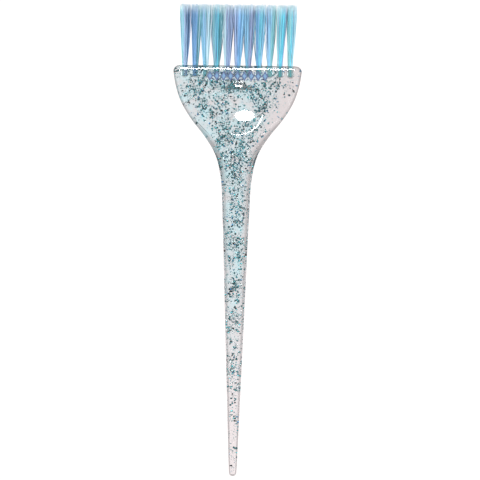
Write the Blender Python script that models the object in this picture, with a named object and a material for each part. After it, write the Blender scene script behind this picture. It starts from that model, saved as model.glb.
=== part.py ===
"""Tint brush: a clear handle with a dished head, two rows of stapled nylon tufts and their wire anchors.

The brush lies on its back. X runs across the head, Y along the brush toward the bristle tips, and Z up
through its thickness. The origin is at the centre of the bounding box, on the surface that it lies on.
"""

import math

import bmesh
import bpy

MM = 0.001

# Driving dimensions of the whole brush.
OVERALL_LENGTH = 216.0 * MM
BRISTLE_LENGTH = 28.3 * MM
HEAD_THICKNESS = 9.0 * MM
MID_HEIGHT = HEAD_THICKNESS / 2
HEAD_EDGE_Y = OVERALL_LENGTH / 2 - BRISTLE_LENGTH
HANDLE_LENGTH = OVERALL_LENGTH - BRISTLE_LENGTH

# Handle shape: (distance from the head's edge, half width) and (distance, half thickness).
SIDE_LINE = (
    (2.8 * MM, 29.4 * MM),
    (9.5 * MM, 28.2 * MM),
    (17.0 * MM, 25.6 * MM),
    (25.0 * MM, 20.7 * MM),
    (32.0 * MM, 15.1 * MM),
    (40.0 * MM, 10.1 * MM),
    (50.0 * MM, 7.3 * MM),
    (68.0 * MM, 6.1 * MM),
    (105.0 * MM, 4.7 * MM),
    (187.7 * MM, 1.65 * MM),
)
FACE_LINE = (
    (31.5 * MM, 4.5 * MM),
    (34.5 * MM, 4.46 * MM),
    (39.5 * MM, 4.15 * MM),
    (46.0 * MM, 3.6 * MM),
    (53.0 * MM, 3.15 * MM),
    (105.0 * MM, 2.5 * MM),
    (187.7 * MM, 1.5 * MM),
)
HEAD_EDGE_RADIUS = 2.2 * MM
HEAD_CORNER_RADIUS = 2.8 * MM
TAIL_END_RADIUS = 1.5 * MM
TAIL_CROWN = 0.72
CROWN_START = 20.0 * MM
CROWN_END = 55.0 * MM
CORNER_STEPS = 5
END_STEPS = 5
HEAD_STATIONS = 20
TAIL_STATIONS = 14
HEAD_STATION_END = 55.0 * MM

# Thumb rest, dished into both faces of the head.
DISH_DISTANCE = 19.4 * MM
DISH_RADIUS = 12.2 * MM
DISH_DEPTH = 1.4 * MM
DISH_SEGMENTS = 40
DISH_RINGS = 6

# Tufts: two rows in blind holes.
TUFT_COLUMNS = 11
TUFT_PITCH = 4.84 * MM
ROW_PITCH = 3.4 * MM
HOLE_RADIUS = 1.45 * MM
HOLE_DEPTH = 5.6 * MM
HOLE_SEGMENTS = 14
HOLE_OVERRUN = 3.0 * MM
TUFT_SEGMENTS = 12
ROOT_RADIUS = 1.25 * MM
ROOT_DEPTH = 5.2 * MM
TIP_HALF_WIDTH = 2.28 * MM
TIP_HALF_DEPTH = 1.75 * MM
TIP_ROW_PITCH = 4.1 * MM
TIP_ROUNDING = 0.5 * MM

# Flat-wire anchors across the folds of the tufts.
ANCHOR_WIDTH = 3.5 * MM
ANCHOR_HEIGHT = 1.8 * MM
ANCHOR_THICKNESS = 0.4 * MM
ANCHOR_DEPTH = 3.6 * MM
ANCHOR_BEVEL = 0.08 * MM
ANCHOR_GAP = 0.15 * MM

SMOOTH_ANGLE = math.radians(35)


def clear_scene():
    for item in list(bpy.data.objects):
        bpy.data.objects.remove(item, do_unlink=True)


def plastic(name, colour, roughness, metallic=0.0, alpha=1.0):
    """A material with one Principled BSDF."""
    material = bpy.data.materials.new(name)
    material.use_nodes = True
    shader = material.node_tree.nodes["Principled BSDF"]
    shader.inputs["Base Color"].default_value = (*colour, 1.0)
    shader.inputs["Roughness"].default_value = roughness
    shader.inputs["Metallic"].default_value = metallic
    shader.inputs["Alpha"].default_value = alpha
    material.diffuse_color = (*colour, alpha)
    return material


def along(points, distance):
    """The height at this distance of a smooth line through the points."""
    slopes = [(b[1] - a[1]) / (b[0] - a[0]) for a, b in zip(points, points[1:])]
    ends = [slopes[0]] + [(a + b) / 2 for a, b in zip(slopes, slopes[1:])] + [slopes[-1]]
    place = min(max(distance, points[0][0]), points[-1][0])
    index = max(i for i in range(len(points) - 1) if points[i][0] <= place)
    (x0, y0), (x1, y1) = points[index], points[index + 1]
    span = x1 - x0
    t = (place - x0) / span
    rise = (1 - t) ** 2 * (1 + 2 * t) * y0 + t**2 * (3 - 2 * t) * y1
    return rise + span * t * (1 - t) * ((1 - t) * ends[index] - t * ends[index + 1])


def ease(start, end, value):
    """0 before start, 1 after end, and a smooth step between."""
    t = min(max((value - start) / (end - start), 0.0), 1.0)
    return t * t * (3 - 2 * t)


def round_off(distance, radius):
    """How far an edge of this radius falls back at this distance from its end."""
    inside = min(distance / radius, 1.0)
    return radius * (1 - math.sqrt(1 - (1 - inside) ** 2))


def handle_size(distance):
    """(half width, half thickness) of the handle, with its rounded head edge and tail end."""
    width = along(SIDE_LINE, distance) - round_off(distance, HEAD_CORNER_RADIUS)
    depth = along(FACE_LINE, distance) - round_off(distance, HEAD_EDGE_RADIUS)
    to_tail = round_off(HANDLE_LENGTH - distance, TAIL_END_RADIUS) / TAIL_END_RADIUS
    return width * (1 - TAIL_CROWN * to_tail), depth * (1 - TAIL_CROWN * to_tail)


def handle_ring(distance):
    """Points round the handle at this distance: flat faces joined by elliptical edges."""
    width, depth = handle_size(distance)
    crowned = ease(CROWN_START, CROWN_END, distance)
    side = min(HEAD_EDGE_RADIUS, width) * (1 - crowned) + TAIL_CROWN * width * crowned
    rise = min(HEAD_EDGE_RADIUS, depth) * (1 - crowned) + depth * crowned
    ring = []
    for quarter, (x_sign, z_sign) in enumerate(((1, 1), (-1, 1), (-1, -1), (1, -1))):
        for step in range(CORNER_STEPS + 1):
            angle = (quarter + step / CORNER_STEPS) * math.pi / 2
            x = x_sign * (width - side) + side * math.cos(angle)
            z = z_sign * (depth - rise) + rise * math.sin(angle)
            ring.append((x, HEAD_EDGE_Y - distance, MID_HEIGHT + z))
    return ring


def handle_stations():
    """Distances of the handle's rings: close at the rounded ends, wider apart along the tail."""
    turn = [math.pi / 2 * step / END_STEPS for step in range(END_STEPS + 1)]
    head_end = [HEAD_CORNER_RADIUS * (1 - math.cos(angle)) for angle in turn]
    tail_end = [HANDLE_LENGTH - TAIL_END_RADIUS * (1 - math.sin(angle)) for angle in turn]
    first, last = head_end[-1], tail_end[0]
    head = [first + (HEAD_STATION_END - first) * i / HEAD_STATIONS for i in range(1, HEAD_STATIONS)]
    tail = [HEAD_STATION_END + (last - HEAD_STATION_END) * i / TAIL_STATIONS for i in range(TAIL_STATIONS)]
    return head_end + head + tail + tail_end


def lofted_mesh(name, rings):
    """A closed mesh through rings of equal size, with a flat cap on each end."""
    shape = bmesh.new()
    loops = [[shape.verts.new(point) for point in ring] for ring in rings]
    count = len(loops[0])
    for low, high in zip(loops, loops[1:]):
        for i in range(count):
            after = (i + 1) % count
            shape.faces.new((low[i], low[after], high[after], high[i]))
    shape.faces.new(loops[0][::-1])
    shape.faces.new(loops[-1])
    bmesh.ops.recalc_face_normals(shape, faces=shape.faces)
    return finished_mesh(name, shape)


def finished_mesh(name, shape):
    mesh = bpy.data.meshes.new(name)
    shape.to_mesh(mesh)
    shape.free()
    mesh.shade_smooth()
    mesh.set_sharp_from_angle(angle=SMOOTH_ANGLE)
    return mesh


def placed(name, mesh, parent=None, location=(0.0, 0.0, 0.0)):
    item = bpy.data.objects.new(name, mesh)
    item.location = location
    item.parent = parent
    bpy.context.scene.collection.objects.link(item)
    return item


def cutter(name, mesh, parent):
    """A hidden object that only cuts others."""
    item = placed(name, mesh, parent)
    item.hide_render = True
    item.display_type = "WIRE"
    return item


def cut(item, tool):
    modifier = item.modifiers.new("cut_" + tool.name, "BOOLEAN")
    modifier.operation = "DIFFERENCE"
    modifier.solver = "EXACT"
    modifier.object = tool


def tuft_places():
    """(row name, column number, x, z) of every tuft."""
    for row, side in (("front", 1), ("back", -1)):
        for column in range(TUFT_COLUMNS):
            x = (column - (TUFT_COLUMNS - 1) / 2) * TUFT_PITCH
            yield row, column + 1, x, MID_HEIGHT + side * ROW_PITCH / 2


def add_ring(shape, centre, radius, y, segments):
    turns = [2 * math.pi * i / segments for i in range(segments)]
    x, z = centre
    return [shape.verts.new((x + radius * math.cos(a), y, z + radius * math.sin(a))) for a in turns]


def hole_cutter_mesh():
    """Blind holes with a conical bottom, one for each tuft."""
    profile = (
        (HOLE_OVERRUN, HOLE_RADIUS),
        (-0.86 * HOLE_DEPTH, HOLE_RADIUS),
        (-HOLE_DEPTH, 0.45 * HOLE_RADIUS),
    )
    shape = bmesh.new()
    for _, _, x, z in tuft_places():
        loops = [
            add_ring(shape, (x, z), radius, HEAD_EDGE_Y + rise, HOLE_SEGMENTS) for rise, radius in profile
        ]
        for low, high in zip(loops, loops[1:]):
            for i in range(HOLE_SEGMENTS):
                after = (i + 1) % HOLE_SEGMENTS
                shape.faces.new((low[i], low[after], high[after], high[i]))
        shape.faces.new(loops[0])
        shape.faces.new(loops[-1][::-1])
    bmesh.ops.recalc_face_normals(shape, faces=shape.faces)
    return finished_mesh("hole_cutter", shape)


def add_block(shape, centre, size):
    """A box, added to this mesh."""
    made = bmesh.ops.create_cube(shape, size=1.0)
    for vert in made["verts"]:
        vert.co = [c + s * v for c, s, v in zip(centre, size, vert.co)]
    return made["verts"]


def pocket_cutter_mesh():
    """Room for the anchors: slots in the hole walls and through the folds of the tufts."""
    shape = bmesh.new()
    size = (
        ANCHOR_WIDTH + 2 * ANCHOR_GAP,
        ANCHOR_HEIGHT + 2 * ANCHOR_GAP,
        ANCHOR_THICKNESS + 2 * ANCHOR_GAP,
    )
    for _, _, x, z in tuft_places():
        add_block(shape, (x, HEAD_EDGE_Y - ANCHOR_DEPTH, z), size)
    bmesh.ops.recalc_face_normals(shape, faces=shape.faces)
    return finished_mesh("pocket_cutter", shape)


def dish_cutter_mesh(side):
    """A lens whose lower surface is the sphere of the thumb rest, on the face that side names."""
    sphere = (DISH_RADIUS**2 + DISH_DEPTH**2) / (2 * DISH_DEPTH)
    face = along(FACE_LINE, DISH_DISTANCE)
    y = HEAD_EDGE_Y - DISH_DISTANCE
    shape = bmesh.new()
    overrun = 1.25
    loops = []
    for i in range(1, DISH_RINGS + 1):
        radius = DISH_RADIUS * overrun * i / DISH_RINGS
        height = face - DISH_DEPTH + sphere - math.sqrt(sphere**2 - radius**2)
        loops.append(dish_ring(shape, y, radius, MID_HEIGHT + side * height))
    top = dish_ring(shape, y, DISH_RADIUS * overrun, MID_HEIGHT + side * (face + 4 * DISH_DEPTH))
    loops.append(top)
    for low, high in zip(loops, loops[1:]):
        for i in range(DISH_SEGMENTS):
            after = (i + 1) % DISH_SEGMENTS
            shape.faces.new((low[i], low[after], high[after], high[i]))
    shape.faces.new(loops[0])
    shape.faces.new(top)
    bmesh.ops.recalc_face_normals(shape, faces=shape.faces)
    return finished_mesh("dish_cutter", shape)


def dish_ring(shape, y, radius, z):
    turns = [2 * math.pi * i / DISH_SEGMENTS for i in range(DISH_SEGMENTS)]
    return [shape.verts.new((radius * math.cos(a), y + radius * math.sin(a), z)) for a in turns]


def tuft_mesh(row, side):
    """A tuft, folded at its root and fanned to a flat tip, about the middle of its own hole."""
    lean = (TIP_ROW_PITCH - ROW_PITCH) / 2
    profile = (
        # (height over the head's edge, half width, half depth, lean)
        (-ROOT_DEPTH, 0.5 * ROOT_RADIUS, 0.5 * ROOT_RADIUS, 0.0),
        (-ROOT_DEPTH + 0.35 * ROOT_RADIUS, 0.9 * ROOT_RADIUS, 0.9 * ROOT_RADIUS, 0.0),
        (-ROOT_DEPTH + 0.9 * ROOT_RADIUS, ROOT_RADIUS, ROOT_RADIUS, 0.0),
        (0.0, ROOT_RADIUS, ROOT_RADIUS, 0.0),
        (0.2 * BRISTLE_LENGTH, 1.25 * ROOT_RADIUS, 1.1 * ROOT_RADIUS, 0.15 * lean),
        (0.75 * BRISTLE_LENGTH, 0.93 * TIP_HALF_WIDTH, 0.92 * TIP_HALF_DEPTH, 0.75 * lean),
        (BRISTLE_LENGTH - TIP_ROUNDING, TIP_HALF_WIDTH, TIP_HALF_DEPTH, lean),
        (BRISTLE_LENGTH, TIP_HALF_WIDTH - TIP_ROUNDING, TIP_HALF_DEPTH - TIP_ROUNDING, lean),
    )
    rings = []
    for rise, width, depth, shift in profile:
        boxy = ease(0.0, BRISTLE_LENGTH, rise)
        ring = []
        for i in range(TUFT_SEGMENTS):
            angle = 2 * math.pi * (i + 0.5) / TUFT_SEGMENTS
            across, through = math.cos(angle), math.sin(angle)
            stretch = 1 + 0.16 * boxy * abs(math.sin(2 * angle))
            x = width * max(-1.0, min(1.0, stretch * across))
            z = depth * max(-1.0, min(1.0, stretch * through))
            ring.append((x, rise, z + side * shift))
        rings.append(ring)
    return lofted_mesh("tuft_" + row, rings)


def anchor_mesh():
    """A short length of flat wire with rounded edges."""
    shape = bmesh.new()
    add_block(shape, (0.0, 0.0, 0.0), (ANCHOR_WIDTH, ANCHOR_HEIGHT, ANCHOR_THICKNESS))
    bmesh.ops.bevel(shape, geom=shape.edges, offset=ANCHOR_BEVEL, segments=1, affect="EDGES")
    bmesh.ops.recalc_face_normals(shape, faces=shape.faces)
    return finished_mesh("anchor", shape)


def add_handle(root, hole_tool, pocket_tool):
    mesh = lofted_mesh("handle", [handle_ring(distance) for distance in handle_stations()])
    mesh.materials.append(plastic("clear_glitter_plastic", (0.82, 0.90, 0.91), 0.08, alpha=0.45))
    handle = placed("handle", mesh, root)
    cut(handle, cutter("front_dish_cutter", dish_cutter_mesh(1), root))
    cut(handle, cutter("back_dish_cutter", dish_cutter_mesh(-1), root))
    cut(handle, hole_tool)
    cut(handle, pocket_tool)


def add_tufts(root, pocket_tool):
    """Every tuft, in four tints of nylon that repeat along the rows."""
    tints = (
        plastic("nylon_sky", (0.20, 0.62, 0.80), 0.45),
        plastic("nylon_blue", (0.16, 0.36, 0.72), 0.45),
        plastic("nylon_teal", (0.10, 0.55, 0.58), 0.45),
        plastic("nylon_lavender", (0.52, 0.52, 0.80), 0.45),
    )
    order = (0, 1, 0, 2, 3, 3, 0, 1, 3, 0, 2)
    meshes = {}
    for row, side in (("front", 1), ("back", -1)):
        for tint in tints:
            meshes[row, tint.name] = tuft_mesh(row, side)
            meshes[row, tint.name].materials.append(tint)
    for row, number, x, z in tuft_places():
        tint = tints[order[number - 1]]
        name = f"tuft_{row}_{number:02d}"
        tuft = placed(name, meshes[row, tint.name], root, (x, HEAD_EDGE_Y, z))
        cut(tuft, pocket_tool)


def add_anchors(root):
    mesh = anchor_mesh()
    mesh.materials.append(plastic("anchor_wire", (0.62, 0.63, 0.64), 0.3, metallic=1.0))
    for row, number, x, z in tuft_places():
        placed(f"anchor_{row}_{number:02d}", mesh, root, (x, HEAD_EDGE_Y - ANCHOR_DEPTH, z))


def main():
    clear_scene()
    root = placed("tint_brush", None)
    hole_tool = cutter("hole_cutter", hole_cutter_mesh(), root)
    pocket_tool = cutter("pocket_cutter", pocket_cutter_mesh(), root)
    add_handle(root, hole_tool, pocket_tool)
    add_tufts(root, pocket_tool)
    add_anchors(root)


main()
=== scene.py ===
"""Looks of the tint brush: clear plastic full of hexagonal glitter, nylon filaments and printed trim.

Metres, in the CAD frame: X across the head, Y toward the bristle tips, Z up through the thickness.
"""

import math

import bmesh
import bpy
import numpy as np
from mathutils import Matrix, Vector


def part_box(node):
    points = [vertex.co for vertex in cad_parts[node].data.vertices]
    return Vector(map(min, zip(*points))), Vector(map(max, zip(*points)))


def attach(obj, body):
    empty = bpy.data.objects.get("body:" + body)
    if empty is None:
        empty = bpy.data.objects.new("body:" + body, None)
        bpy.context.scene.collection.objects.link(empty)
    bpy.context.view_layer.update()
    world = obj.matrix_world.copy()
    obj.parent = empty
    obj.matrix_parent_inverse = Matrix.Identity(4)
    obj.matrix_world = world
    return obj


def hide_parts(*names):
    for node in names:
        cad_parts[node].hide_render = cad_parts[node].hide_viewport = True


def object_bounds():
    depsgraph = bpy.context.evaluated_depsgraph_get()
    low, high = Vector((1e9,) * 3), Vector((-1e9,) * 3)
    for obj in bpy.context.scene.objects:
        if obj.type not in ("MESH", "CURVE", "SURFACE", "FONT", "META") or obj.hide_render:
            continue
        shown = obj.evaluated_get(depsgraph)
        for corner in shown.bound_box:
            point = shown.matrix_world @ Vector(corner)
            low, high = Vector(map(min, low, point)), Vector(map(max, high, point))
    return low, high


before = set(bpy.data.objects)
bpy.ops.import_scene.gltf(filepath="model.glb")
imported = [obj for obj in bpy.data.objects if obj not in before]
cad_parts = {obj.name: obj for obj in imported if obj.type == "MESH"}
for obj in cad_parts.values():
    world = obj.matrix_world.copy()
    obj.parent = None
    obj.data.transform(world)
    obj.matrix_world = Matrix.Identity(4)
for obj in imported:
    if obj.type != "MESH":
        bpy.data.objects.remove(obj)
CAD_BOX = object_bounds()

MM = 0.001

# The frame gives the handle's place and size, and each anchor gives the middle of its tuft's hole.
HANDLE_LOW, HANDLE_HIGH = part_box("handle")
HEAD_EDGE_Y = HANDLE_HIGH.y
HANDLE_LENGTH = HANDLE_HIGH.y - HANDLE_LOW.y
MID_HEIGHT = (HANDLE_HIGH.z + HANDLE_LOW.z) / 2
TIP_Y = CAD_BOX[1].y
BRISTLE_LENGTH = TIP_Y - HEAD_EDGE_Y
COLUMNS = 11
ROWS = (("front", 1), ("back", -1))

# Handle shape: (distance from the head's edge, half width) and (distance, half thickness), as in the CAD.
SIDE_LINE = (
    (2.8 * MM, 29.4 * MM),
    (9.5 * MM, 28.2 * MM),
    (17.0 * MM, 25.6 * MM),
    (25.0 * MM, 20.7 * MM),
    (32.0 * MM, 15.1 * MM),
    (40.0 * MM, 10.1 * MM),
    (50.0 * MM, 7.3 * MM),
    (68.0 * MM, 6.1 * MM),
    (105.0 * MM, 4.7 * MM),
    (187.7 * MM, 1.65 * MM),
)
FACE_LINE = (
    (31.5 * MM, 4.5 * MM),
    (34.5 * MM, 4.46 * MM),
    (39.5 * MM, 4.15 * MM),
    (46.0 * MM, 3.6 * MM),
    (53.0 * MM, 3.15 * MM),
    (105.0 * MM, 2.5 * MM),
    (187.7 * MM, 1.5 * MM),
)
HEAD_EDGE_RADIUS = 2.2 * MM
# The head's sides round over a little more than that radius, inside the CAD's outline.
HEAD_SIDE_WIDTH = 3.4 * MM
BEVEL_OUTER = 1.3 * MM
BEVEL_INNER = 2.0 * MM
BEVEL_ANGLE = math.radians(14.0)
HEAD_CORNER_RADIUS = 2.8 * MM
TAIL_END_RADIUS = 1.5 * MM
TAIL_CROWN = 0.72
CROWN_START = 20.0 * MM
CROWN_END = 55.0 * MM
CORNER_STEPS = 12
END_STEPS = 12
HEAD_STATIONS = 80
TAIL_STATIONS = 50
HEAD_STATION_END = 55.0 * MM
PARTING_RISE = 0.05 * MM
PARTING_WIDTH = 0.12 * MM
SHARP_ANGLE = math.radians(38)

# Thumb rest on each face, as in the CAD, with a small fillet round its rim.
DISH_DISTANCE = 19.4 * MM
DISH_RADIUS = 12.2 * MM
DISH_DEPTH = 1.4 * MM
DISH_FILLET = 0.55 * MM
DISH_SEGMENTS = 180
DISH_RINGS = 16
FILLET_RINGS = 10
RIM_STEP = 0.002 * MM
# (height over the face, distance beyond the rim) of the dish tool's last two rings, in the open air.
DISH_TOOL_TOP = ((1.0 * MM, 0.1 * MM), (6.0 * MM, 0.2 * MM))

# Blind holes of the tufts.
HOLE_RADIUS = 1.45 * MM
HOLE_DEPTH = 5.6 * MM
HOLE_SEGMENTS = 28
HOLE_OVERRUN = 3.0 * MM
# (share of the depth, share of the radius) down the drill's cone at the bottom.
HOLE_CONE = ((0.86, 1.0), (0.95, 0.8), (1.0, 0.4))
ANCHOR_GAP = 0.03 * MM
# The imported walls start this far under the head's edge. They are found in a box a little wider, thicker
# and deeper than the holes, which holds the anchors' slots too, and no other face of the handle.
PACKED_START = 0.3 * MM
PACKED_MARGINS = (1.5, 1.05, 1.05)

# Glitter: hexagonal flakes of metallised film inside the plastic, large ones and fine ones.
FLAKE_COUNT = 1850
FLAKE_WIDTHS = (0.56 * MM, 0.72 * MM, 0.90 * MM)
DUST_COUNT = 6200
DUST_WIDTHS = (0.24 * MM, 0.32 * MM, 0.40 * MM)
FLAKE_THICKNESS = 0.03 * MM
FLAKE_TILT = 0.42
FLAKE_SHADES = (0.75, 1.25)
FLAKE_MARGIN = 0.42 * MM
HOLE_MARGIN = 0.2 * MM
FLAKE_SEED = 5
CLUSTERS = 300
CLUSTER_SIZE = (1.3 * MM, 1.6 * MM, 0.9 * MM)
CLUSTERED_SHARE = 0.62
SHARED_TINT_SHARE = 0.5

# Filaments, folded in half under the anchors.
STRANDS = 46
STRAND_SIDES = 6
STRAND_RADIUS = 0.105 * MM
STRAND_GIRTHS = (0.88, 1.1)
STRAND_REACH = 1.3 * MM
STRAND_FLOOR = 0.13 * MM
STRAND_SEED = 5
LEG_STEPS = 12
FOLD_STEPS = 7
FOLD_GAP = 0.05 * MM
FOLD_DROP = 0.12 * MM
FOLD_ROUNDNESS = 0.42
NECK_DEPTH = 2.0 * MM
# Half a tuft's thickness at its tips, and its width there as a share of the CAD's, with its scatter.
TIP_DEPTH = 1.7 * MM
TIP_WIDTH = 0.92
TIP_WIDTH_SCATTER = 0.08
TIP_SQUARENESS = 0.2
# The tips lean to the right, most at the head's right end, and away from the other row.
LEAN_RIGHT = 0.35 * MM
LEAN_OUT = 0.3 * MM
LEAN_SCATTER = 0.24 * MM
# Where a tuft's quick fanning ends, as a share of its length, and how much of its fanning is quick.
FLARES = (0.7, 1.1)
FLARE_SHARE = 0.6
# How the filaments of one tuft differ at their tips: place, stray ones, bend and length.
TIP_SCATTER = (0.46 * MM, 0.16 * MM)
STRAY_SHARE = 0.05
STRAY_SCATTER = 0.5 * MM
BEND_SCATTER = 0.15 * MM
LENGTH_SCATTER = 0.75 * MM
# The last fifth of each filament tapers and pales. Inside the head its tint is painted brighter than
# outside, as painted light for the roots that the plastic lights dimly, with the change over this stretch
# of its length, measured from the head's edge.
TAPER_START = 0.80
TIP_TAPER = 0.68
TIP_PALENESS = 0.8
ROOT_PAINTED_LIGHT = 0.6
ROOT_PAINTED_LIGHT_END = (-0.06, 0.02)
BRIGHTEST_TINT = 0.98


# ---------------------------------------------------------------- shape of the handle


def along(points, distance):
    """Heights at these distances of a smooth line through the points."""
    xs, ys = np.array(points).T
    slopes = np.diff(ys) / np.diff(xs)
    ends = np.concatenate([slopes[:1], (slopes[1:] + slopes[:-1]) / 2, slopes[-1:]])
    place = np.clip(distance, xs[0], xs[-1])
    index = np.clip(np.searchsorted(xs, place, "right") - 1, 0, len(slopes) - 1)
    span = np.diff(xs)[index]
    t = (place - xs[index]) / span
    rise = (1 - t) ** 2 * (1 + 2 * t) * ys[index] + t**2 * (3 - 2 * t) * ys[index + 1]
    return rise + span * t * (1 - t) * ((1 - t) * ends[index] - t * ends[index + 1])


def ease(start, end, value):
    """0 before start, 1 after end, and a smooth step between."""
    t = np.clip((value - start) / (end - start), 0.0, 1.0)
    return t * t * (3 - 2 * t)


def round_off(distance, radius):
    """How far an edge of this radius falls back at these distances from its end."""
    inside = np.clip(distance / radius, 0.0, 1.0)
    return radius * (1 - np.sqrt(1 - (1 - inside) ** 2))


def edge_fall(distance):
    """Fall of the faces toward the head's edge: a narrow bevel, then a rounding."""
    bevel = math.tan(BEVEL_ANGLE) * np.clip(BEVEL_INNER - distance, 0.0, BEVEL_INNER - BEVEL_OUTER)
    radius = BEVEL_OUTER / (1 - math.sin(BEVEL_ANGLE))
    inside = np.clip(distance, 0.0, BEVEL_OUTER) / radius
    return bevel + radius * (math.cos(BEVEL_ANGLE) - np.sqrt(1 - (1 - inside) ** 2))


def handle_size(distance):
    """(half width, half thickness, width of the rounded side, rise of the rounded side)."""
    width = along(SIDE_LINE, distance) - round_off(distance, HEAD_CORNER_RADIUS)
    depth = along(FACE_LINE, distance) - edge_fall(distance)
    to_tail = round_off(HANDLE_LENGTH - distance, TAIL_END_RADIUS) / TAIL_END_RADIUS
    width = width * (1 - TAIL_CROWN * to_tail)
    depth = depth * (1 - TAIL_CROWN * to_tail)
    crowned = ease(CROWN_START, CROWN_END, distance)
    side = np.minimum(HEAD_SIDE_WIDTH, width) * (1 - crowned) + TAIL_CROWN * width * crowned
    rise = np.minimum(HEAD_EDGE_RADIUS, depth) * (1 - crowned) + depth * crowned
    return width, depth, side, rise


def handle_ring(distance):
    """Points round the handle at this distance, with the moulding's parting line on each side."""
    width, depth, side, rise = handle_size(distance)
    ridge = PARTING_RISE * ease(0.0, 2 * HEAD_CORNER_RADIUS, min(distance, HANDLE_LENGTH - distance))
    ring = []
    for quarter, (x_sign, z_sign) in enumerate(((1, 1), (-1, 1), (-1, -1), (1, -1))):
        if z_sign * x_sign > 0:
            ring.append((x_sign * (width + ridge), 0.0))
        for step in range(CORNER_STEPS + 1):
            angle = (quarter + step / CORNER_STEPS) * math.pi / 2
            x = x_sign * (width - side) + side * math.cos(angle)
            z = z_sign * (depth - rise) + rise * math.sin(angle)
            if abs(z) < PARTING_WIDTH:
                z = math.copysign(PARTING_WIDTH, z_sign)
            ring.append((x, z))
    return [(x, HEAD_EDGE_Y - distance, MID_HEIGHT + z) for x, z in ring]


def handle_stations():
    """Distances of the handle's rings: close at the rounded ends, wider apart along the tail."""
    turn = [math.pi / 2 * step / END_STEPS for step in range(END_STEPS + 1)]
    head_end = [HEAD_CORNER_RADIUS * (1 - math.cos(angle)) for angle in turn]
    head_end = sorted([*head_end, BEVEL_OUTER, BEVEL_INNER])
    tail_end = [HANDLE_LENGTH - TAIL_END_RADIUS * (1 - math.sin(angle)) for angle in turn]
    head = np.linspace(head_end[-1], HEAD_STATION_END, HEAD_STATIONS, endpoint=False)[1:]
    tail = np.linspace(HEAD_STATION_END, tail_end[0], TAIL_STATIONS, endpoint=False)
    return [*head_end, *head, *tail, *tail_end]


def dish_height(radius):
    """Height of the thumb rest's sphere over its own bottom at this radius."""
    sphere = (DISH_RADIUS**2 + DISH_DEPTH**2) / (2 * DISH_DEPTH)
    return sphere - np.sqrt(sphere**2 - np.minimum(radius, DISH_RADIUS) ** 2)


# ---------------------------------------------------------------- mesh helpers


def placed(mesh):
    """A new object with this mesh, under the mesh's own name."""
    item = bpy.data.objects.new(mesh.name, mesh)
    bpy.context.scene.collection.objects.link(item)
    return item


def closed(shape, name):
    """The mesh of a finished BMesh."""
    mesh = bpy.data.meshes.new(name)
    shape.to_mesh(mesh)
    shape.free()
    return mesh


def new_piece(mesh, material, slot, *nodes):
    """A piece on the root body that stands for these CAD nodes."""
    piece = placed(mesh)
    mesh.materials.append(material)
    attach(piece, "root")
    if nodes:
        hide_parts(*nodes)
    return piece


def mesh_from_loops(name, points, faces):
    """A mesh from an array of points and arrays of faces, each with its own count of corners."""
    mesh = bpy.data.meshes.new(name)
    corners = np.concatenate([group.ravel() for group in faces])
    totals = np.concatenate([np.full(len(group), group.shape[1]) for group in faces])
    starts = np.concatenate([[0], np.cumsum(totals)[:-1]])
    mesh.vertices.add(len(points))
    mesh.vertices.foreach_set("co", np.asarray(points, np.float32).ravel())
    mesh.loops.add(len(corners))
    mesh.loops.foreach_set("vertex_index", corners.astype(np.int32))
    mesh.polygons.add(len(totals))
    mesh.polygons.foreach_set("loop_start", starts.astype(np.int32))
    mesh.update(calc_edges=True)
    return mesh


def paint(mesh, name, colours):
    """Stores one colour for each point."""
    layer = mesh.color_attributes.new(name, "FLOAT_COLOR", "POINT")
    rgba = np.ones((len(colours), 4), np.float32)
    rgba[:, :3] = colours
    layer.data.foreach_set("color", rgba.ravel())


def lofted(name, rings):
    """A closed mesh through rings of equal size, with a flat cap on each end."""
    shape = bmesh.new()
    loops = [[shape.verts.new(point) for point in ring] for ring in rings]
    count = len(loops[0])
    for low, high in zip(loops, loops[1:]):
        for i in range(count):
            after = (i + 1) % count
            shape.faces.new((low[i], low[after], high[after], high[i]))
    shape.faces.new(loops[0][::-1])
    shape.faces.new(loops[-1])
    bmesh.ops.recalc_face_normals(shape, faces=shape.faces)
    return closed(shape, name)


def turned(name, centre, axes, profile, segments):
    """A closed body turned about a line through centre: profile holds (height, radius) along axes[2]."""
    across, up, line = (Vector(axis) for axis in axes)
    turns = [2 * math.pi * i / segments for i in range(segments)]
    rings = []
    for height, radius in profile:
        middle = Vector(centre) + line * height
        rings.append([middle + radius * (across * math.cos(a) + up * math.sin(a)) for a in turns])
    return lofted(name, rings)


def carve(piece, meshes):
    """Cuts these bodies out of the piece, one Boolean each, and applies them."""
    tools = [placed(mesh) for mesh in meshes]
    for tool in tools:
        cut = piece.modifiers.new(tool.name, "BOOLEAN")
        cut.operation = "DIFFERENCE"
        cut.solver = "EXACT"
        cut.object = tool
    graph = bpy.context.evaluated_depsgraph_get()
    carved = bpy.data.meshes.new_from_object(piece.evaluated_get(graph), depsgraph=graph)
    piece.modifiers.clear()
    piece.data = carved
    for tool in tools:
        bpy.data.objects.remove(tool)


def joined(name, meshes):
    """One mesh that holds separate bodies."""
    shape = bmesh.new()
    for mesh in meshes:
        shape.from_mesh(mesh)
    return closed(shape, name)


# ---------------------------------------------------------------- material helpers


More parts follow.
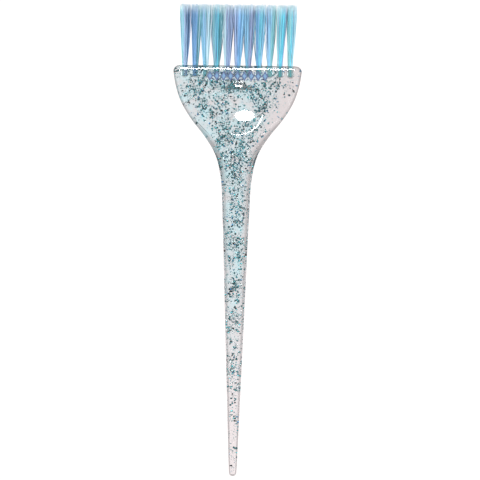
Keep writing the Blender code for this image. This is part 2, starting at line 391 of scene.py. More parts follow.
class Nodes:
    """A short way to build a node material round one Principled shader."""

    def __init__(self, name):
        self.material = bpy.data.materials.new(name)
        self.material.use_nodes = True
        self.tree = self.material.node_tree
        self.shader = self.tree.nodes["Principled BSDF"]

    def add(self, kind, values=None, **settings):
        node = self.tree.nodes.new(kind)
        for key, value in settings.items():
            setattr(node, key, value)
        for key, value in (values or {}).items():
            node.inputs[key].default_value = value
        return node

    def link(self, source, target):
        self.tree.links.new(source, target)

    def set(self, **values):
        for key, value in values.items():
            self.shader.inputs[key.replace("_", " ")].default_value = value

    def noise(self, scale, detail=2.0):
        """Noise in object space. Scale is in cycles per metre."""
        place = self.add("ShaderNodeTexCoord")
        noise = self.add("ShaderNodeTexNoise", {"Scale": scale, "Detail": detail})
        self.link(place.outputs["Object"], noise.inputs["Vector"])
        return noise.outputs["Fac"]

    def spread(self, source, low, high):
        """Maps the middle of a noise to a range from low to high."""
        ranges = {"From Min": 0.3, "From Max": 0.7, "To Min": low, "To Max": high}
        node = self.add("ShaderNodeMapRange", ranges)
        self.link(source, node.inputs["Value"])
        return node.outputs["Result"]

    def mix(self, share, first, second):
        """A colour between the first and the second, each a colour or an output."""
        node = self.add("ShaderNodeMix", data_type="RGBA")
        self.link(share, node.inputs["Factor"])
        for slot, value in (("A", first), ("B", second)):
            if isinstance(value, tuple):
                node.inputs[slot].default_value = value
            else:
                self.link(value, node.inputs[slot])
        return node.outputs["Result"]

    def math(self, operation, first, second):
        """A Math node of two values, each a number or an output."""
        node = self.add("ShaderNodeMath", operation=operation)
        for slot, value in enumerate((first, second)):
            if isinstance(value, float):
                node.inputs[slot].default_value = value
            else:
                self.link(value, node.inputs[slot])
        return node.outputs["Value"]

    def ramp(self, value, start, end, low=0.0, high=1.0):
        """From low to high as the value goes from start to end, with a smooth step between."""
        ranges = {"From Min": start, "From Max": end, "To Min": low, "To Max": high}
        node = self.add("ShaderNodeMapRange", ranges, interpolation_type="SMOOTHSTEP")
        self.link(value, node.inputs["Value"])
        return node.outputs["Result"]

    def curve(self, value, points):
        """A smooth curve of the value through points from (0, ...) to (1, ...)."""
        node = self.add("ShaderNodeFloatCurve")
        line = node.mapping.curves[0].points
        for place in points[1:-1]:
            line.new(*place)
        line[0].location = points[0]
        line[-1].location = points[-1]
        node.mapping.update()
        self.link(value, node.inputs["Value"])
        return node.outputs["Value"]

    def tint(self):
        """Takes the base colour from the mesh's own tint layer."""
        layer = self.add("ShaderNodeAttribute", attribute_name="tint")
        self.link(layer.outputs["Color"], self.shader.inputs["Base Color"])

    def roughness(self, scale, low, high):
        """Roughness that drifts between low and high, in patches of this scale."""
        self.link(self.spread(self.noise(scale), low, high), self.shader.inputs["Roughness"])

    def bump(self, height, distance, strength):
        node = self.add("ShaderNodeBump", {"Distance": distance, "Strength": strength})
        self.link(height, node.inputs["Height"])
        self.link(node.outputs["Normal"], self.shader.inputs["Normal"])


# The clear plastic looks darker in the thick head than in the tail. Its cloud is thickest in the head,
# thins out down the handle, and fades toward the right side.
HEAD_TINT = (0.66, 0.635, 0.64, 1.0)
TAIL_TINT = (0.78, 0.745, 0.75, 1.0)
CLOUD_TINT = (0.51, 0.76, 0.81, 1.0)
CLOUD_FULL_Y = 10.0 * MM
CLOUD_END_Y = -85.0 * MM
CLOUD_SIDE = (0.30, 0.85)
CLOUD_SPREAD = (-0.1, 1.15)
PACKED_TINT = (0.96, 1.0, 1.0, 1.0)
WIRE_TINT = (0.30, 0.33, 0.34, 1.0)


def clear_plastic():
    """Polished clear plastic, clouded with glitter too fine to see."""
    m = Nodes("clear_plastic")
    place = m.add("ShaderNodeTexCoord")
    split = m.add("ShaderNodeSeparateXYZ")
    m.link(place.outputs["Object"], split.inputs["Vector"])
    x, y = split.outputs["X"], split.outputs["Y"]
    share = m.math("DIVIDE", m.math("SUBTRACT", HEAD_EDGE_Y, y), HANDLE_LENGTH)
    widths = [(distance / HANDLE_LENGTH, width / HANDLE_HIGH.x) for distance, width in SIDE_LINE]
    widths = [(0.0, widths[0][1]), *widths[1:-1], (1.0, widths[-1][1])]
    half_width = m.math("MULTIPLY", m.curve(share, widths), HANDLE_HIGH.x)
    across = m.math("DIVIDE", x, half_width)
    upper = m.ramp(y, CLOUD_END_Y, CLOUD_FULL_Y)
    kept = m.math("MULTIPLY", upper, m.ramp(across, *CLOUD_SIDE, 1.0, 0.0))
    amount = m.math("MULTIPLY", kept, m.spread(m.noise(230.0, 3.0), *CLOUD_SPREAD))
    clear = m.mix(upper, TAIL_TINT, HEAD_TINT)
    m.link(m.mix(amount, clear, CLOUD_TINT), m.shader.inputs["Base Color"])
    m.set(IOR=1.49, Transmission_Weight=1.0)
    m.roughness(140.0, 0.015, 0.05)
    m.bump(m.noise(120.0, 1.0), 0.02 * MM, 0.5)
    return m.material


def packed_plastic():
    """The plastic of the tufts' holes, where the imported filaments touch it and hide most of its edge."""
    m = Nodes("packed_plastic")
    m.set(Base_Color=PACKED_TINT, IOR=1.08, Transmission_Weight=1.0)
    m.roughness(1500.0, 0.04, 0.12)
    return m.material


def foil():
    """Metallised film, tinted flake by flake."""
    m = Nodes("glitter_foil")
    m.tint()
    m.set(Metallic=0.85)
    m.roughness(900.0, 0.18, 0.34)
    return m.material


def pearl():
    """Pale pearly film of the finest flakes."""
    m = Nodes("pearl_film")
    m.tint()
    m.set(Metallic=0.1)
    m.roughness(900.0, 0.25, 0.4)
    return m.material


def nylon():
    """Drawn nylon filament: satin, and a little see-through."""
    m = Nodes("nylon_filament")
    m.tint()
    m.set(IOR=1.53, Transmission_Weight=0.2)
    m.roughness(2500.0, 0.32, 0.5)
    return m.material


def drawn_wire():
    """Flat wire, dull and finely uneven."""
    m = Nodes("drawn_wire")
    m.set(Base_Color=WIRE_TINT, Metallic=1.0)
    m.roughness(4000.0, 0.42, 0.6)
    return m.material


def ink():
    """Pad-printed ink in two tints, a little uneven."""
    m = Nodes("printed_ink")
    m.tint()
    m.roughness(1800.0, 0.35, 0.55)
    return m.material


# ---------------------------------------------------------------- handle


def hole_centres():
    """(row, column, x, z) of every tuft's hole, from the middle of its anchor."""
    for row, _ in ROWS:
        for column in range(1, COLUMNS + 1):
            low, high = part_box(f"anchor_{row}_{column:02d}")
            yield row, column, (low.x + high.x) / 2, (low.z + high.z) / 2


def dish_tool(side):
    """The body that dishes one face: a sphere's cap that a fillet turns level just under the face."""
    inner = DISH_RADIUS - DISH_FILLET
    profile = []
    for i in range(1, DISH_RINGS + 1):
        radius = inner * i / DISH_RINGS
        profile.append((float(dish_height(radius)) - DISH_DEPTH, radius))
    start = profile[-1][0]
    for i in range(1, FILLET_RINGS + 1):
        turn = i / FILLET_RINGS
        profile.append((start * (1 - turn) ** 2 - RIM_STEP, inner + 2 * DISH_FILLET * turn))
    rim = profile[-1][1]
    profile += [(height, rim + beyond) for height, beyond in DISH_TOOL_TOP]
    face = float(along(FACE_LINE, DISH_DISTANCE))
    axes = ((1, 0, 0), (0, 1, 0), (0, 0, side))
    centre = (0, HEAD_EDGE_Y - DISH_DISTANCE, MID_HEIGHT + side * face)
    return turned("dish_tool", centre, axes, profile, DISH_SEGMENTS)


def hole_tool():
    """All the blind holes, each with a drill's cone at its bottom."""
    cone = [(-depth * HOLE_DEPTH, radius * HOLE_RADIUS) for depth, radius in HOLE_CONE]
    profile = [(HOLE_OVERRUN, HOLE_RADIUS), *cone]
    axes = ((1, 0, 0), (0, 0, 1), (0, 1, 0))
    places = [(x, HEAD_EDGE_Y, z) for _, _, x, z in hole_centres()]
    return joined("hole_tool", [turned("hole", place, axes, profile, HOLE_SEGMENTS) for place in places])


def pocket_tool():
    """Slots that the ends of the anchors sit in."""
    shape = bmesh.new()
    for row, column, _, _ in hole_centres():
        low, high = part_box(f"anchor_{row}_{column:02d}")
        middle = (low + high) / 2
        size = high - low + Vector((2 * ANCHOR_GAP,) * 3)
        made = bmesh.ops.create_cube(shape, size=1.0)
        for vert in made["verts"]:
            vert.co = [c + s * v for c, s, v in zip(middle, size, vert.co)]
    return closed(shape, "pocket_tool")


def pack_holes(handle, material):
    """Gives the walls of the holes and of the anchors' slots their own material."""
    handle.data.materials.append(material)
    wider, thicker, deeper = PACKED_MARGINS
    centres = [(x, z) for _, _, x, z in hole_centres()]
    reach_x = max(x for x, _ in centres) + wider * HOLE_RADIUS
    reach_z = max(z for _, z in centres) - MID_HEIGHT + thicker * HOLE_RADIUS
    for face in handle.data.polygons:
        x, y, z = face.center
        deep = PACKED_START < HEAD_EDGE_Y - y < deeper * HOLE_DEPTH
        if deep and abs(x) < reach_x and abs(z - MID_HEIGHT) < reach_z:
            face.material_index = 1


def add_handle(material, packed):
    """The clear handle. It casts no shadow, so that light reaches the glitter and the roots inside it."""
    mesh = lofted("clear_handle", [handle_ring(distance) for distance in handle_stations()])
    handle = new_piece(mesh, material, "clear_glitter_plastic", "handle")
    carve(handle, [dish_tool(1), dish_tool(-1), hole_tool(), pocket_tool()])
    pack_holes(handle, packed)
    handle.data.shade_smooth()
    handle.data.set_sharp_from_angle(angle=SHARP_ANGLE)
    weighted = handle.modifiers.new("weighted_normals", "WEIGHTED_NORMAL")
    weighted.keep_sharp = True
    handle.visible_shadow = False


# ---------------------------------------------------------------- glitter

# (share of the flakes, colour)
FLAKE_TINTS = (
    (0.27, (0.020, 0.150, 0.170)),
    (0.26, (0.050, 0.340, 0.400)),
    (0.09, (0.040, 0.230, 0.450)),
    (0.15, (0.150, 0.600, 0.640)),
    (0.12, (0.850, 1.000, 0.980)),
    # Painted shade: these near-black flakes stand for flakes turned away from the light.
    (0.10, (0.006, 0.016, 0.020)),
)
DUST_TINTS = (
    (0.40, (0.240, 0.600, 0.640)),
    (0.25, (0.110, 0.360, 0.390)),
    (0.15, (0.180, 0.420, 0.620)),
    (0.20, (0.650, 0.900, 0.880)),
)

# Share of flakes kept at distances from the head's edge. The tail is thin, so it keeps more of them.
FLAKE_SHARES = (
    (0.0, 0.72),
    (8.0 * MM, 0.54),
    (20.0 * MM, 0.34),
    (40.0 * MM, 0.58),
    (75.0 * MM, 0.74),
    (130.0 * MM, 0.82),
    (165.0 * MM, 0.90),
    (187.7 * MM, 0.80),
)
# Across the handle, in shares of its half width: the flakes' middle lies to the left, and they thin out
# toward the sides.
FLAKES_LEFT = 0.06
THINNING_START = 0.45
THINNING = 0.8
# A drift of more flakes under the bristles, left of the middle, that ends over the thumb rest.
DRIFT = 0.45
DRIFT_X = -5.0 * MM
DRIFT_WIDTH = 13.0 * MM
DRIFT_END = (8.0 * MM, 22.0 * MM)

# The holes' pitch across the head, and how far each row lies from the middle of the thickness.
HOLE_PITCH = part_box("anchor_front_02")[0].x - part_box("anchor_front_01")[0].x
ROW_OFFSET = abs(next(hole_centres())[3] - MID_HEIGHT)


def flake_density(x, distance):
    """Share of flakes kept at this place."""
    across = np.abs(x / handle_size(distance)[0] + FLAKES_LEFT)
    drift = DRIFT * np.exp(-(((x - DRIFT_X) / DRIFT_WIDTH) ** 2)) * (1 - ease(*DRIFT_END, distance))
    return (1 - THINNING * ease(THINNING_START, 1.0, across)) * along(FLAKE_SHARES, distance) * (1 + drift)


def flake_room(x, distance, height):
    """True where a flake fits inside the plastic, clear of the surface, the dishes and the holes."""
    width, depth, side, rise = handle_size(distance)
    beyond = np.clip((np.abs(x) - (width - side)) / side, 0.0, 1.0)
    half = depth - rise + rise * np.sqrt(1 - beyond**2)
    radius = np.hypot(x, distance - DISH_DISTANCE)
    face = float(along(FACE_LINE, DISH_DISTANCE))
    dished = np.where(radius < DISH_RADIUS, face - DISH_DEPTH + dish_height(radius), half)
    room = np.minimum(half, dished) - FLAKE_MARGIN
    fits = (np.abs(height) < room) & (np.abs(x) < width - FLAKE_MARGIN)
    near_x = np.abs(x - HOLE_PITCH * np.round(x / HOLE_PITCH))
    near_z = np.abs(np.abs(height) - ROW_OFFSET)
    beside = np.hypot(near_x, near_z) < HOLE_RADIUS + HOLE_MARGIN
    in_hole = beside & (distance < HOLE_DEPTH + FLAKE_MARGIN)
    return fits & ~in_hole & (distance > FLAKE_MARGIN) & (distance < HANDLE_LENGTH - TAIL_END_RADIUS)


def flake_places(random, count, clusters=None):
    """Middles of the flakes, and the number of the cluster each one belongs to, or -1."""
    tries = 4 * count
    found, owners = np.zeros((0, 3)), np.zeros(0, int)
    while len(found) < count:
        x = random.uniform(-HANDLE_HIGH.x, HANDLE_HIGH.x, tries)
        distance = random.uniform(0, HANDLE_LENGTH, tries)
        height = random.uniform(-1, 1, tries) * (MID_HEIGHT - HANDLE_LOW.z)
        kept = random.random(tries) < flake_density(x, distance)
        owner = np.full(tries, -1)
        if clusters is not None:
            drawn = random.random(tries) < CLUSTERED_SHARE * kept.mean()
            owner[drawn] = random.integers(0, len(clusters), drawn.sum())
            near = clusters[owner] + random.normal(0, 1, (tries, 3)) * CLUSTER_SIZE
            x = np.where(drawn, near[:, 0], x)
            distance = np.where(drawn, near[:, 1], distance)
            height = np.where(drawn, near[:, 2], height)
            kept |= drawn
        kept &= flake_room(x, distance, height)
        found = np.concatenate([found, np.stack([x, distance, height], 1)[kept]])
        owners = np.concatenate([owners, owner[kept]])
    return found[:count], owners[:count]


def flake_tints(random, table, owners):
    """A tint for each flake. Some flakes of a cluster share one tint."""
    shares = np.array([share for share, _ in table])
    tints = np.array([tint for _, tint in table])
    chosen = random.choice(len(tints), len(owners), p=shares / shares.sum())
    favourite = random.choice(len(tints), CLUSTERS, p=shares / shares.sum())
    shared = (owners >= 0) & (random.random(len(owners)) < SHARED_TINT_SHARE)
    chosen = np.where(shared, favourite[owners], chosen)
    return np.clip(tints[chosen] * random.uniform(*FLAKE_SHADES, (len(owners), 1)), 0, 1)


def hexagons(random, middles, widths):
    """Points of closed hexagonal plates at every angle, most lying near flat."""
    count = len(middles)
    normals = random.normal(0, FLAKE_TILT, (count, 3)) + (0, 0, 1)
    normals /= np.linalg.norm(normals, axis=1)[:, None]
    first = np.cross(normals, random.normal(0, 1, (count, 3)))
    first /= np.linalg.norm(first, axis=1)[:, None]
    second = np.cross(normals, first)
    turns = np.arange(6) * math.pi / 3
    outline = first[:, None] * np.cos(turns)[:, None] + second[:, None] * np.sin(turns)[:, None]
    outline = outline * random.choice(widths, count)[:, None, None] / math.sqrt(3)
    lift = normals[:, None] * FLAKE_THICKNESS / 2
    return np.concatenate([middles[:, None] + outline - lift, middles[:, None] + outline + lift], 1)


def add_flakes(name, random, clusters, count, widths, table, material):
    """One kind of flake, in loose clusters, as the plastic's flow leaves them."""
    places, owners = flake_places(random, count, clusters)
    x, distance, height = places.T
    middles = np.stack([x, HEAD_EDGE_Y - distance, MID_HEIGHT + height], 1)
    base = np.arange(count)[:, None] * 12
    step = np.arange(6)
    after = (step + 1) % 6
    sides = np.stack([step, after, after + 6, step + 6], 1).ravel()
    faces = (base + step[::-1], base + step + 6, (base + sides).reshape(-1, 4))
    mesh = mesh_from_loops(name, hexagons(random, middles, widths).reshape(-1, 3), faces)
    paint(mesh, "tint", np.repeat(flake_tints(random, table, owners), 12, axis=0))
    new_piece(mesh, material, "glitter_foil")


def add_glitter():
    random = np.random.default_rng(FLAKE_SEED)
    clusters, _ = flake_places(random, CLUSTERS)
    add_flakes("glitter", random, clusters, FLAKE_COUNT, FLAKE_WIDTHS, FLAKE_TINTS, foil())
    add_flakes("glitter_dust", random, clusters, DUST_COUNT, DUST_WIDTHS, DUST_TINTS, pearl())


# ---------------------------------------------------------------- bristles

AQUA = (0.31, 0.72, 0.78)
SKY = (0.26, 0.59, 0.84)
CYAN = (0.12, 0.62, 0.80)
BLUE = (0.15, 0.38, 0.68)
DEEP = (0.09, 0.22, 0.44)
TEAL = (0.12, 0.42, 0.52)
LAVENDER = (0.37, 0.52, 0.80)
MAUVE = (0.25, 0.32, 0.54)
PALE = (0.50, 0.74, 0.84)
PALETTE = np.array([AQUA, SKY, CYAN, BLUE, DEEP, TEAL, LAVENDER, MAUVE, PALE])
TIP_TINT = np.array((0.78, 0.93, 0.97))

# Tints of each column's filaments, from its left to its right.
COLUMN_TINTS = (
    (AQUA, LAVENDER, DEEP),
    (BLUE, BLUE, TEAL),
    (SKY, TEAL, PALE),
    (TEAL, CYAN, TEAL),
    (PALE, MAUVE, LAVENDER),
    (LAVENDER, BLUE, SKY),
    (SKY, SKY, MAUVE),
    (BLUE, CYAN, SKY),
    (LAVENDER, SKY, AQUA),
    (AQUA, CYAN, LAVENDER),
    (AQUA, CYAN, PALE),
)
PLACE_SCATTER = 0.35
ODD_SHARE = 0.16
STRAND_SHADES = (0.82, 1.15)
COLUMN_SLOTS = (
    "sky", "blue", "sky", "teal", "lavender", "lavender", "sky", "blue", "lavender", "sky", "teal",
)
# The strands keep this share of their reach clear of the anchor's middle.
ROOT_CLEARANCE = 0.24


def strand_roots(random, count):
    """(x, z) offsets of the strands in the hole, z on one side of the anchor."""
    found = []
    while len(found) < count:
        x, z = random.uniform(-1, 1), random.uniform(ROOT_CLEARANCE, 1)
        if x * x + z * z < 1:
            found.append((x, z))
    return np.array(found) * STRAND_REACH


def leg_points(random, roots, side_z, tip_sizes, lean, flare):
    """Points of one leg of every strand, from the head's edge to the tip, about the middle of the hole.

    The legs fan out quickly up to the flare, a share of the length, and run nearly straight above it.
    """
    count = len(roots)
    start = np.stack([roots[:, 0], side_z * roots[:, 1]], 1)
    square = 1 + TIP_SQUARENESS * np.abs(np.sin(2 * np.arctan2(start[:, 1], start[:, 0])))
    tips = start / STRAND_REACH * tip_sizes * square[:, None]
    tips += random.normal(0, 1, (count, 2)) * TIP_SCATTER
    stray = random.random(count) < STRAY_SHARE
    tips += stray[:, None] * random.normal(0, STRAY_SCATTER, (count, 2))
    bend = random.normal(0, BEND_SCATTER, (count, 2))
    length = BRISTLE_LENGTH - np.abs(random.normal(0, LENGTH_SCATTER, count))
    heights = np.linspace(0, 1, LEG_STEPS)
    curved = np.sin(np.clip(heights / flare, 0, 1) * math.pi / 2)
    fan = FLARE_SHARE * curved + (1 - FLARE_SHARE) * heights
    spread = start[:, None] + (tips - start)[:, None] * fan[None, :, None] + lean * heights[None, :, None]
    spread = spread + bend[:, None] * np.sin(math.pi * heights)[None, :, None]
    y = HEAD_EDGE_Y + length[:, None] * heights[None]
    return np.stack([spread[..., 0], y, spread[..., 1]], 2)


def fold_points(roots, anchor_bottom):
    """Points of every strand's fold under the anchor, from its front leg to its back leg."""
    turn = np.linspace(0, math.pi, FOLD_STEPS)
    z = roots[:, 1][:, None] * np.cos(turn)[None]
    drop = FOLD_DROP + FOLD_ROUNDNESS * roots[:, 1]
    y = anchor_bottom - FOLD_GAP - drop[:, None] * np.sin(turn)[None]
    x = np.repeat(roots[:, 0][:, None], FOLD_STEPS, 1)
    return np.stack([x, y, z], 2)


def tube_mesh(name, paths, radii, tints):
    """Closed tubes along paths of equal length: radii and tints hold one value for each point."""
    count, steps, _ = paths.shape
    tangents = np.gradient(paths, axis=1)
    tangents /= np.linalg.norm(tangents, axis=2)[..., None]
    across = np.array([1.0, 0.0, 0.0]) - tangents * tangents[..., :1]
    across /= np.linalg.norm(across, axis=2)[..., None]
    up = np.cross(tangents, across)
    turns = 2 * math.pi * np.arange(STRAND_SIDES) / STRAND_SIDES
    ring = across[:, :, None] * np.cos(turns)[:, None] + up[:, :, None] * np.sin(turns)[:, None]
    points = paths[:, :, None] + ring * radii[:, :, None, None]
    size = steps * STRAND_SIDES
    base = np.arange(count)[:, None, None, None] * size
    row = np.arange(steps - 1)[None, :, None, None] * STRAND_SIDES
    i = np.arange(STRAND_SIDES)
    j = (i + 1) % STRAND_SIDES
    quad = np.stack([i, j, j + STRAND_SIDES, i + STRAND_SIDES], 1)[None, None]
    quads = (base + row + quad).reshape(-1, 4)
    starts = base[:, 0, 0] + i[::-1]
    ends = base[:, 0, 0] + size - STRAND_SIDES + i
    mesh = mesh_from_loops(name, points.reshape(-1, 3), (quads, starts, ends))
    paint(mesh, "tint", np.repeat(tints.reshape(-1, 3), STRAND_SIDES, axis=0))
    mesh.shade_smooth()
    return mesh


def strand_tints(random, column, roots):
    """One tint for each strand, by its place across the tuft, with a few odd ones."""
    tints = np.array(COLUMN_TINTS[column - 1])
    middle = len(tints) / 2
    place = roots[:, 0] / STRAND_REACH * middle + middle + random.normal(0, PLACE_SCATTER, len(roots))
    chosen = tints[np.clip(place, 0, len(tints) - 0.01).astype(int)]
    odd = random.random(len(roots)) < ODD_SHARE
    chosen = np.where(odd[:, None], PALETTE[random.integers(0, len(PALETTE), len(roots))], chosen)
    return chosen * random.uniform(*STRAND_SHADES, (len(roots), 1))


def add_tuft(random, row, side, column, x, z, material):
    """One tuft of folded strands. Its back leg starts where its front leg ends, under the anchor."""
    low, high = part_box(f"tuft_{row}_{column:02d}")
    roots = strand_roots(random, STRANDS)
    tip_width = (high.x - low.x) / 2 * random.normal(TIP_WIDTH, TIP_WIDTH_SCATTER)
    tip_sizes = np.array([tip_width, TIP_DEPTH])
    rightward = LEAN_RIGHT + LEAN_RIGHT * x / HANDLE_HIGH.x
    lean = np.array([rightward + random.normal(0, LEAN_SCATTER), side * LEAN_OUT])
    flare = random.uniform(*FLARES)
    front = leg_points(random, roots, 1, tip_sizes, lean, flare)
    back = leg_points(random, roots, -1, tip_sizes, lean, flare)
    fold = fold_points(roots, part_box(f"anchor_{row}_{column:02d}")[0].y)
    neck_front = fold[:, :1] * (1, 0, 1) + (0, HEAD_EDGE_Y - NECK_DEPTH, 0)
    neck_back = fold[:, -1:] * (1, 0, 1) + (0, HEAD_EDGE_Y - NECK_DEPTH, 0)
    paths = np.concatenate([front[:, ::-1], neck_front, fold, neck_back, back], 1)
    paths = paths + (x, 0, z)
    paths[..., 2] = np.clip(paths[..., 2], CAD_BOX[0].z + STRAND_FLOOR, CAD_BOX[1].z - STRAND_FLOOR)
    reach = (paths[..., 1] - HEAD_EDGE_Y) / BRISTLE_LENGTH
    taper = 1 - TIP_TAPER * ease(TAPER_START, 1.0, reach)
    radii = STRAND_RADIUS * random.uniform(*STRAND_GIRTHS, (STRANDS, 1)) * taper
    tints = np.repeat(strand_tints(random, column, roots)[:, None], paths.shape[1], 1)
    pale = TIP_PALENESS * ease(TAPER_START, 1.0, reach)[..., None]
    # Painted light: the roots inside the head get a brighter tint, for the light that the plastic keeps
    # from them.
    painted_root_light = 1 + ROOT_PAINTED_LIGHT * (1 - ease(*ROOT_PAINTED_LIGHT_END, reach))[..., None]
    tints = np.clip(tints * painted_root_light, 0, BRIGHTEST_TINT) * (1 - pale) + TIP_TINT * pale
    mesh = tube_mesh(f"bristles_{row}_{column:02d}", paths, radii, tints)
    new_piece(mesh, material, "nylon_" + COLUMN_SLOTS[column - 1], f"tuft_{row}_{column:02d}")


def add_bristles(material):
    random = np.random.default_rng(STRAND_SEED)
    sides = dict(ROWS)
    for row, column, x, z in hole_centres():
        add_tuft(random, row, sides[row], column, x, z, material)


# ---------------------------------------------------------------- printed trim

PRINT_DISTANCE = 4.9 * MM
PRINT_THICKNESS = 0.02 * MM
PRINT_LIFT = 0.01 * MM
LOZENGES = 9
LOZENGE_PITCH = 3.15 * MM
LOZENGE_HALF_WIDTH = 1.5 * MM
LOZENGE_HALF_HEIGHT = 2.4 * MM
LOZENGE_LINE = 0.6 * MM
# Gap between a lozenge's line and its filling, as a share of its size.
FILL_GAP = 0.02
DOT_RADIUS = 0.36 * MM
DOT_RISE = 0.62 * LOZENGE_HALF_HEIGHT
DOT_SIDES = 16
LINE_TINT = (0.008, 0.045, 0.140)
FILL_TINT = (0.055, 0.170, 0.310)


def plate(shape, tint, outline, inline=None):
    """A thin plate that follows the face, or a ring of it when inline is given, in one tint."""
    layer = shape.verts.layers.float_color["tint"]
    lift = PRINT_LIFT + PRINT_THICKNESS
    loops = []
    for points, level in ((outline, PRINT_LIFT), (outline, lift), (inline, lift), (inline, PRINT_LIFT)):
        if points is None:
            continue
        loop = []
        for x, y in points:
            face = MID_HEIGHT + float(handle_size(HEAD_EDGE_Y - y)[1])
            loop.append(shape.verts.new((x, y, face + level)))
            loop[-1][layer] = (*tint, 1.0)
        loops.append(loop)
    count = len(outline)
    pairs = list(zip(loops, loops[1:] + loops[:1])) if inline is not None else [(loops[0], loops[1])]
    for low, high in pairs:
        for i in range(count):
            after = (i + 1) % count
            shape.faces.new((low[i], low[after], high[after], high[i]))
    if inline is None:
        shape.faces.new(loops[0][::-1])
        shape.faces.new(loops[1])


def diamond(x, y, size):
    width, height = LOZENGE_HALF_WIDTH * size, LOZENGE_HALF_HEIGHT * size
    return [(x + width, y), (x, y + height), (x - width, y), (x, y - height)]


def dot(x, y):
    turns = [2 * math.pi * i / DOT_SIDES for i in range(DOT_SIDES)]
    return [(x + DOT_RADIUS * math.cos(a), y + DOT_RADIUS * math.sin(a)) for a in turns]


def add_print(material):
    """A plain row of lozenges and dots, printed on the front of the head."""
    shape = bmesh.new()
    shape.verts.layers.float_color.new("tint")
    y = HEAD_EDGE_Y - PRINT_DISTANCE
    area = LOZENGE_HALF_WIDTH * LOZENGE_HALF_HEIGHT
    inner = 1 - LOZENGE_LINE * math.hypot(LOZENGE_HALF_WIDTH, LOZENGE_HALF_HEIGHT) / area
    for i in range(LOZENGES):
        x = (i - (LOZENGES - 1) / 2) * LOZENGE_PITCH
        plate(shape, LINE_TINT, diamond(x, y, 1.0), diamond(x, y, inner))
        plate(shape, FILL_TINT, diamond(x, y, inner - FILL_GAP))
        if i < LOZENGES - 1:
            for rise in (DOT_RISE, -DOT_RISE):
                plate(shape, LINE_TINT, dot(x + LOZENGE_PITCH / 2, y + rise))
    bmesh.ops.recalc_face_normals(shape, faces=shape.faces)
    new_piece(closed(shape, "printed_trim"), material, "printed_ink")


# ---------------------------------------------------------------- stage

PICTURE_WIDTH = 219.8 * MM
CAMERA_LENS = 200.0
CAMERA_SENSOR = 36.0
CAMERA_ROLL = math.radians(0.71)
CAMERA_SHIFT = Vector((2.06 * MM, 0.0, 0.0))
LIGHT_TINT = (1.0, 0.955, 0.955, 1.0)
LIGHT_BOUNCES = 16
# Far under the brush lie a bright card, which fills the picture, and a dim one beyond it.
BACKDROP_DEPTH = 3.0
BACKDROP_X = (-0.39, 0.62)
BRIGHT_CARD_Y = (-0.39, 0.74)
DIM_CARD_Y = (0.74, 1.5)
BRIGHT_CARD_STRENGTH = 1.11
DIM_CARD_STRENGTH = 0.32
# Strength of the world's light over the height of its direction, as the sum of two ramps: from this
# height, to this height, strength at the first, strength at the second.
WORLD_RAMPS = ((-0.975, -0.87, 1.11, 0.67), (-0.6, 0.5, 0.0, 0.45))


def add_card(name, x_range, y_range, strength):
    """A level glowing card far under the brush."""
    low, high = zip(x_range, y_range)
    middle = ((low[0] + high[0]) / 2, (low[1] + high[1]) / 2, -BACKDROP_DEPTH)
    bpy.ops.mesh.primitive_plane_add(size=1.0, location=middle)
    card = bpy.context.object
    card.name = name
    card.scale = (high[0] - low[0], high[1] - low[1], 1.0)
    m = Nodes(name)
    m.set(Base_Color=(0.0, 0.0, 0.0, 1.0), Roughness=1.0)
    m.set(Emission_Color=LIGHT_TINT, Emission_Strength=strength)
    card.data.materials.append(m.material)


def add_backdrop():
    """The bright card, and the dim one, which the thumb rest's upper rim bends into sight."""
    add_card("bright_card", BACKDROP_X, BRIGHT_CARD_Y, BRIGHT_CARD_STRENGTH)
    add_card("dim_card", BACKDROP_X, DIM_CARD_Y, DIM_CARD_STRENGTH)


def add_softbox(name, place, aim, size, radiance, shape="RECTANGLE", matt=True):
    """A level light of even radiance that faces its aim, and lights matt surfaces only when matt is true.

    It isn't seen through the clear plastic.
    """
    data = bpy.data.lights.new(name, "AREA")
    data.shape = shape
    data.size, data.size_y = size
    area = size[0] * size[1] * (math.pi / 4 if shape == "ELLIPSE" else 1)
    data.energy = radiance * area * math.pi
    back = (Vector(place) - Vector(aim)).normalized()
    side = Vector((1, 0, 0)) if abs(back.x) < 0.8 else Vector((0, 1, 0))
    level = (side - back * side.dot(back)).normalized()
    turn = Matrix((level, back.cross(level), back)).transposed()
    light = bpy.data.objects.new(name, data)
    light.matrix_world = Matrix.Translation(place) @ turn.to_4x4()
    light.visible_transmission = False
    light.visible_diffuse = matt
    bpy.context.scene.collection.objects.link(light)


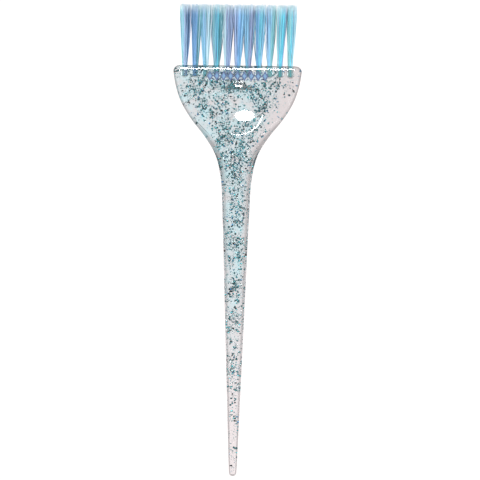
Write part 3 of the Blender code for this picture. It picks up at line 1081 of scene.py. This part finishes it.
def add_lights():
    """Lights that the thumb rest, the head's bevel and the rim mirror, and two low side lights."""
    dish = Vector((0.0, HEAD_EDGE_Y - DISH_DISTANCE, MID_HEIGHT))
    key = dish + Vector((-0.20, 0.27, 1.5))
    strip = dish + Vector((-0.5, 0.64, 1.0))
    glint = dish + Vector((-0.025, -0.383, 1.2))
    add_softbox("key", key, (key.x, dish.y, dish.z), (0.48, 0.28), 32.0, shape="ELLIPSE")
    add_softbox("bevel_strip", strip, (strip.x, dish.y, dish.z), (1.12, 0.18), 40.0, matt=False)
    add_softbox("rim_glint", glint, dish, (0.15, 0.05), 30.0)
    for name, x in (("left_side", -1.3), ("right_side", 1.3)):
        add_softbox(name, (x, 0.1, 0.75), (0, 0.05, 0), (1.0, 1.0), 2.0)


def add_world():
    """Light from all round, whose strength follows the height of its direction."""
    world = bpy.data.worlds.new("studio")
    bpy.context.scene.world = world
    world.use_nodes = True
    tree = world.node_tree
    place = tree.nodes.new("ShaderNodeTexCoord")
    split = tree.nodes.new("ShaderNodeSeparateXYZ")
    tree.links.new(place.outputs["Generated"], split.inputs["Vector"])
    total = tree.nodes.new("ShaderNodeMath")
    for slot, values in enumerate(WORLD_RAMPS):
        ramp = tree.nodes.new("ShaderNodeMapRange")
        for key, value in zip(("From Min", "From Max", "To Min", "To Max"), values):
            ramp.inputs[key].default_value = value
        tree.links.new(split.outputs["Z"], ramp.inputs["Value"])
        tree.links.new(ramp.outputs["Result"], total.inputs[slot])
    back = tree.nodes["Background"]
    tree.links.new(total.outputs["Value"], back.inputs["Strength"])
    back.inputs["Color"].default_value = LIGHT_TINT


def add_camera():
    data = bpy.data.cameras.new("camera")
    data.lens = CAMERA_LENS
    data.sensor_width = CAMERA_SENSOR
    distance = PICTURE_WIDTH * CAMERA_LENS / CAMERA_SENSOR
    camera = bpy.data.objects.new("camera", data)
    camera.location = Vector((0, 0, MID_HEIGHT + distance)) + CAMERA_SHIFT
    camera.rotation_euler = (0, 0, CAMERA_ROLL)
    bpy.context.scene.collection.objects.link(camera)
    bpy.context.scene.camera = camera


def dress_anchors(material):
    """Gives the frame's own anchors their wire finish."""
    for row, column, _, _ in hole_centres():
        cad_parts[f"anchor_{row}_{column:02d}"].data.materials[0] = material


def set_look():
    scene = bpy.context.scene
    scene.view_settings.view_transform = "Standard"
    scene.cycles.caustics_reflective = False
    scene.cycles.caustics_refractive = False
    scene.cycles.max_bounces = LIGHT_BOUNCES
    scene.cycles.transmission_bounces = LIGHT_BOUNCES


add_camera()
add_backdrop()
add_lights()
add_world()
set_look()
add_handle(clear_plastic(), packed_plastic())
add_glitter()
add_bristles(nylon())
add_print(ink())
dress_anchors(drawn_wire())
